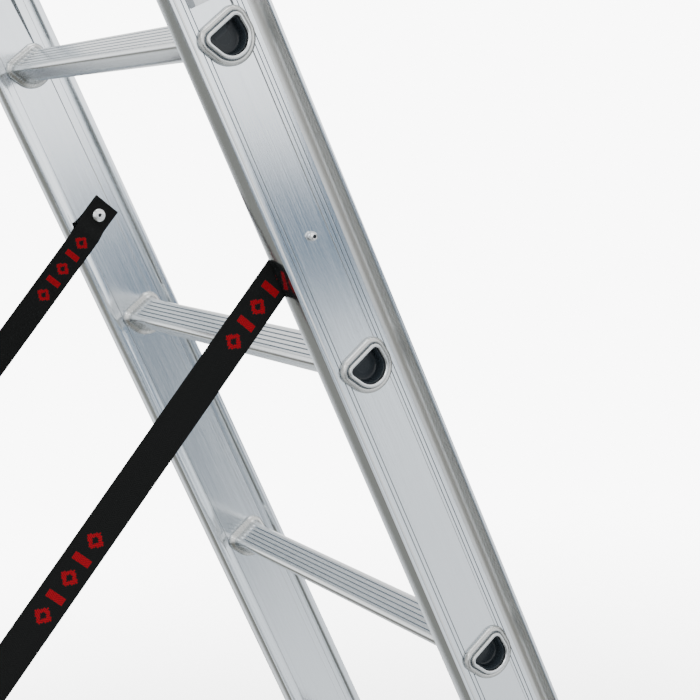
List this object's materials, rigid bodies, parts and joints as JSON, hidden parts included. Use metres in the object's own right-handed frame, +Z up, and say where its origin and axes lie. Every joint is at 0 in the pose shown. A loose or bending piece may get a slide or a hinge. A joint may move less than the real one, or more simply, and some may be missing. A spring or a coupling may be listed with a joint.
{
  "type": "combination ladder",
  "caption": "Combination ladder standing as an A-frame: flanged stiles, flat-topped rungs, stabiliser bar, webbing restraint straps and a fly section that slides up the front legs.",
  "frame": {"origin": "middle of the footprint, on the floor", "axes": "+X along the rungs, +Y towards the rear legs with the stabiliser bar, +Z up"},
  "size_m": [0.908, 1.4414, 2.0125],
  "materials": {
    "aluminium": "satin extruded, fine lines along each profile",
    "rubber": "black moulded, slightly shiny",
    "steel": "zinc plated",
    "webbing": "black woven webbing with red woven marks"
  },
  "bodies": {
    "rear": {"apex_bolt_left": "steel", "apex_bolt_right": "steel", "bar_tongue_left": "aluminium", "bar_tongue_right": "aluminium", "hinge_plate_left": "steel", "hinge_plate_right": "steel", "rear_rung_1": "aluminium", "rear_rung_2": "aluminium", "rear_rung_3": "aluminium", "rear_rung_4": "aluminium", "rear_rung_5": "aluminium", "rear_rung_6": "aluminium", "rear_rung_7": "aluminium", "rear_stile_left": "aluminium", "rear_stile_right": "aluminium", "rear_top_cap_left": "rubber", "rear_top_cap_right": "rubber", "stabiliser_bar": "aluminium", "stabiliser_shoe_left": "rubber", "stabiliser_shoe_right": "rubber", "strap_left": "webbing", "strap_right": "webbing", "strap_rivet_left": "steel", "strap_rivet_right": "steel"},
    "front": {"front_boot_left": "rubber", "front_boot_right": "rubber", "front_guide_left": "steel", "front_guide_right": "steel", "front_rung_1": "aluminium", "front_rung_2": "aluminium", "front_rung_3": "aluminium", "front_rung_4": "aluminium", "front_rung_5": "aluminium", "front_rung_6": "aluminium", "front_rung_7": "aluminium", "front_stile_left": "aluminium", "front_stile_right": "aluminium", "front_top_cap_left": "rubber", "front_top_cap_right": "rubber", "strap_stud_left": "steel", "strap_stud_right": "steel"},
    "fly": {"fly_bottom_cap_left": "rubber", "fly_bottom_cap_right": "rubber", "fly_guide_left": "steel", "fly_guide_right": "steel", "fly_rung_1": "aluminium", "fly_rung_2": "aluminium", "fly_rung_3": "aluminium", "fly_rung_4": "aluminium", "fly_rung_5": "aluminium", "fly_rung_6": "aluminium", "fly_rung_7": "aluminium", "fly_stile_left": "aluminium", "fly_stile_right": "aluminium", "fly_top_cap_left": "rubber", "fly_top_cap_right": "rubber"},
    "hook_left": {"rung_hook_left": "steel"},
    "hook_right": {"rung_hook_right": "steel"}
  },
  "joints": [
    {"name": "fold", "type": "hinge", "parent": "rear", "child": "front", "pos_m": [0, -0.00983, 1.94016], "axis": [1, 0, 0], "range_deg": [0, 36], "deforming": ["strap_left", "strap_right"]},
    {"name": "fly_slide", "type": "slide", "parent": "front", "child": "fly", "axis": [0, 0.309, 0.9511], "range_m": [0, 1.12]},
    {"name": "hook_left_swing", "type": "hinge", "parent": "fly", "child": "hook_left", "pos_m": [-0.175, -0.57572, 0.33444], "axis": [-1, 0, 0], "range_deg": [0, 165]},
    {"name": "hook_right_swing", "type": "hinge", "parent": "fly", "child": "hook_right", "pos_m": [0.175, -0.57572, 0.33444], "axis": [-1, 0, 0], "range_deg": [0, 165]}
  ]
}
